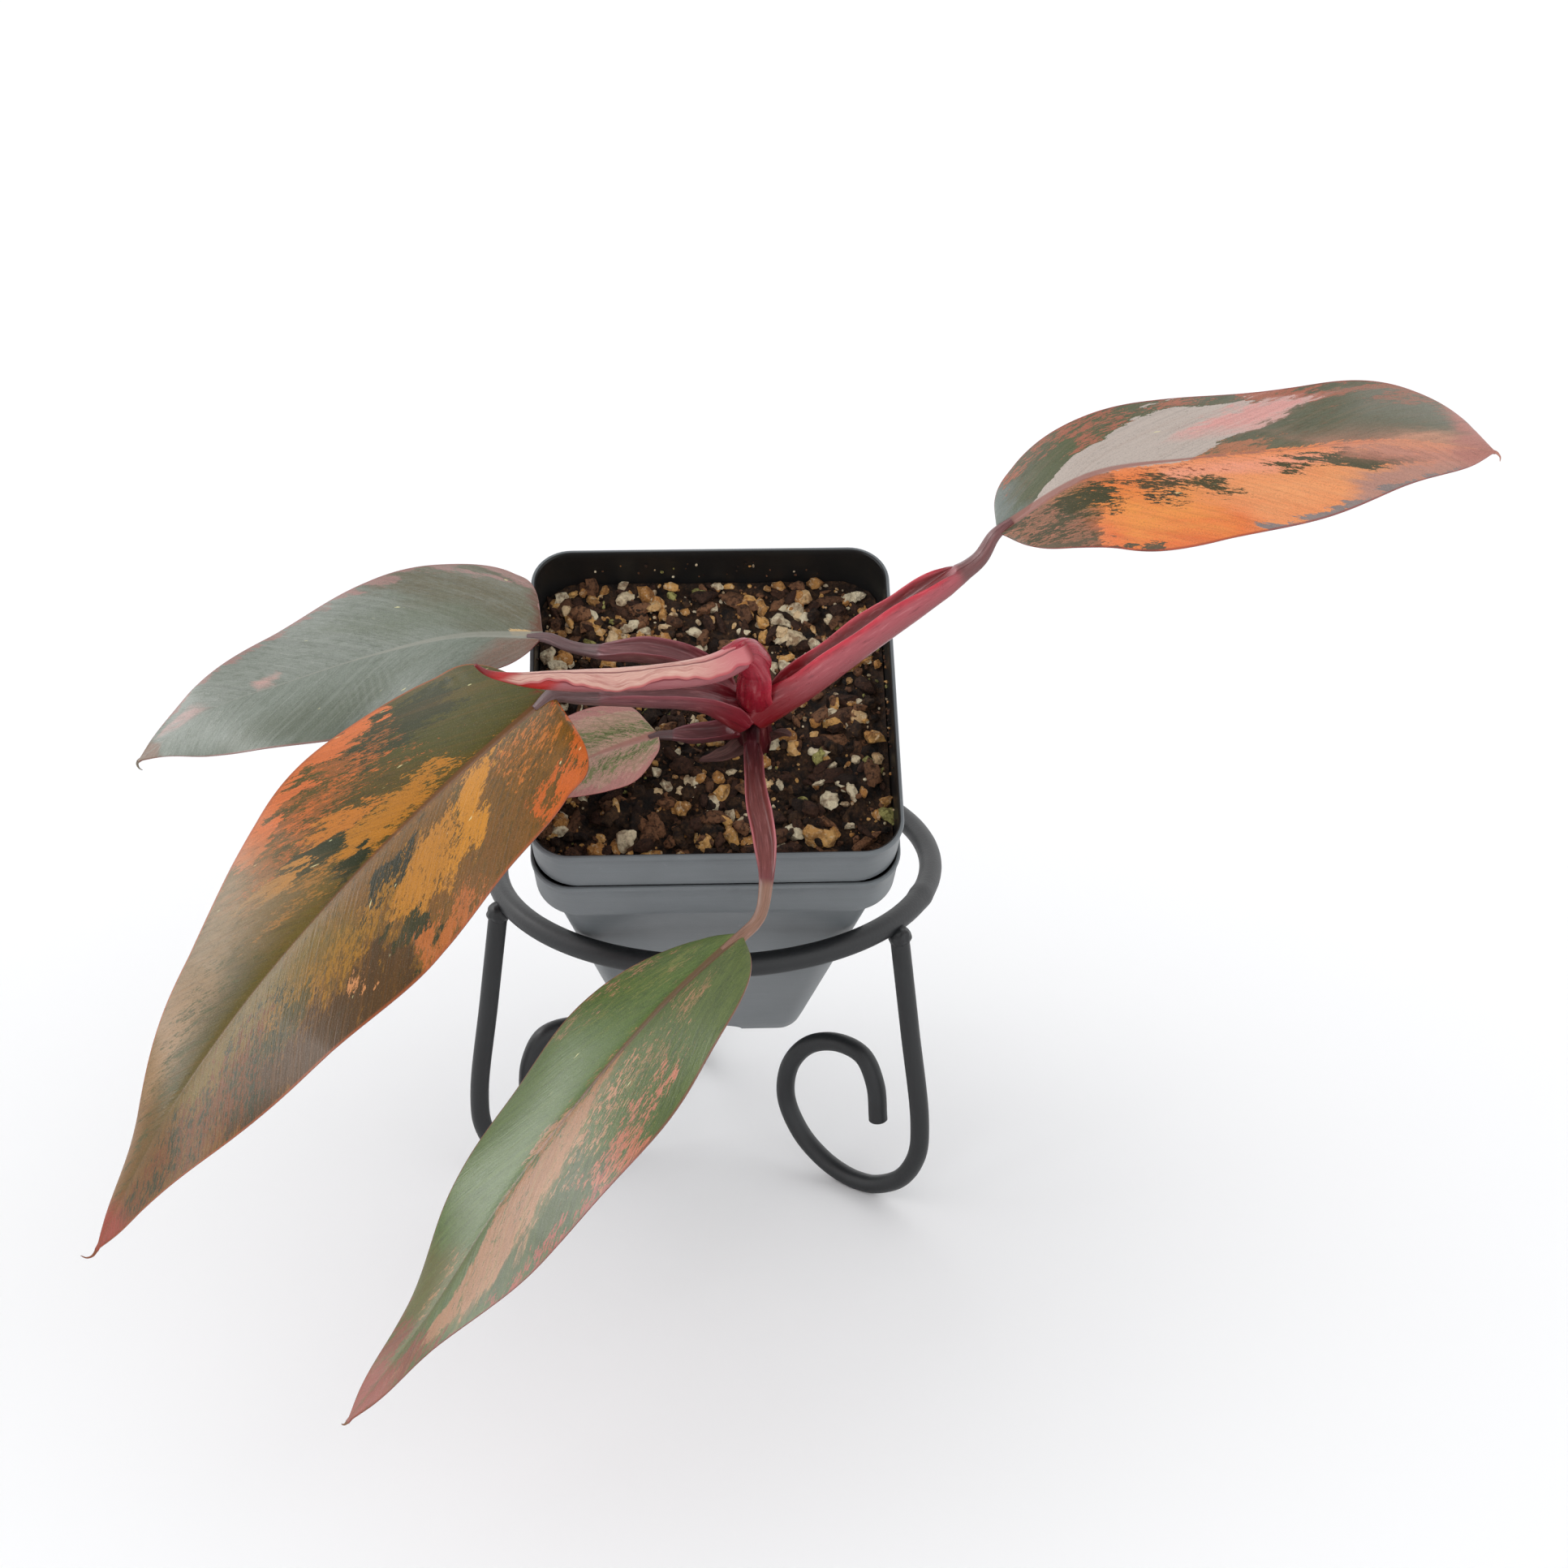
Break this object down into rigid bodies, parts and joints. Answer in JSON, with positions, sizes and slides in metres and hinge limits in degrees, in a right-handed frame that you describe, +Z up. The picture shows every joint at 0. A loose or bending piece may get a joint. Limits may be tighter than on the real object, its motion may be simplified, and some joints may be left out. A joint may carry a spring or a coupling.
{
  "type": "potted philodendron in a wire stand",
  "caption": "Variegated trailing-leaf aroid in nested square nursery pots, leaning in a round scroll-legged metal plant stand.",
  "frame": {"origin": "on the surface that the stand's feet rest on, under the middle of the bounding box", "axes": "+Z up, +X along the longest reach of the leaves, from the left leaf to the right leaf, +Y to the back of the stand"},
  "size_m": [0.3284, 0.254, 0.2238],
  "materials": {
    "iron": "matte",
    "pot": "satin",
    "soil": "matte",
    "stem": "satin",
    "petiole": "satin",
    "dark_petiole": "satin",
    "new_leaf": "satin",
    "right_leaf": "satin",
    "back_leaf": "satin",
    "left_leaf": "satin",
    "front_leaf": "satin",
    "low_leaf": "satin",
    "dried": "matte"
  },
  "bodies": {
    "root": {"stand_ring": "iron", "stand_leg_front_right": "iron", "stand_leg_back": "iron", "stand_leg_front_left": "iron", "inner_pot": "pot", "outer_pot": "pot", "soil": "soil", "stem": "stem", "new_leaf_petiole": "petiole", "right_petiole": "petiole", "left_petiole": "dark_petiole", "front_petiole": "petiole", "back_petiole": "dark_petiole", "low_petiole": "dark_petiole", "new_leaf": "new_leaf", "right_leaf": "right_leaf", "back_leaf": "back_leaf", "left_leaf": "left_leaf", "front_leaf": "front_leaf", "low_leaf": "low_leaf", "dried_sheath_left": "dried", "dried_sheath_right": "dried"}
  },
  "joints": []
}
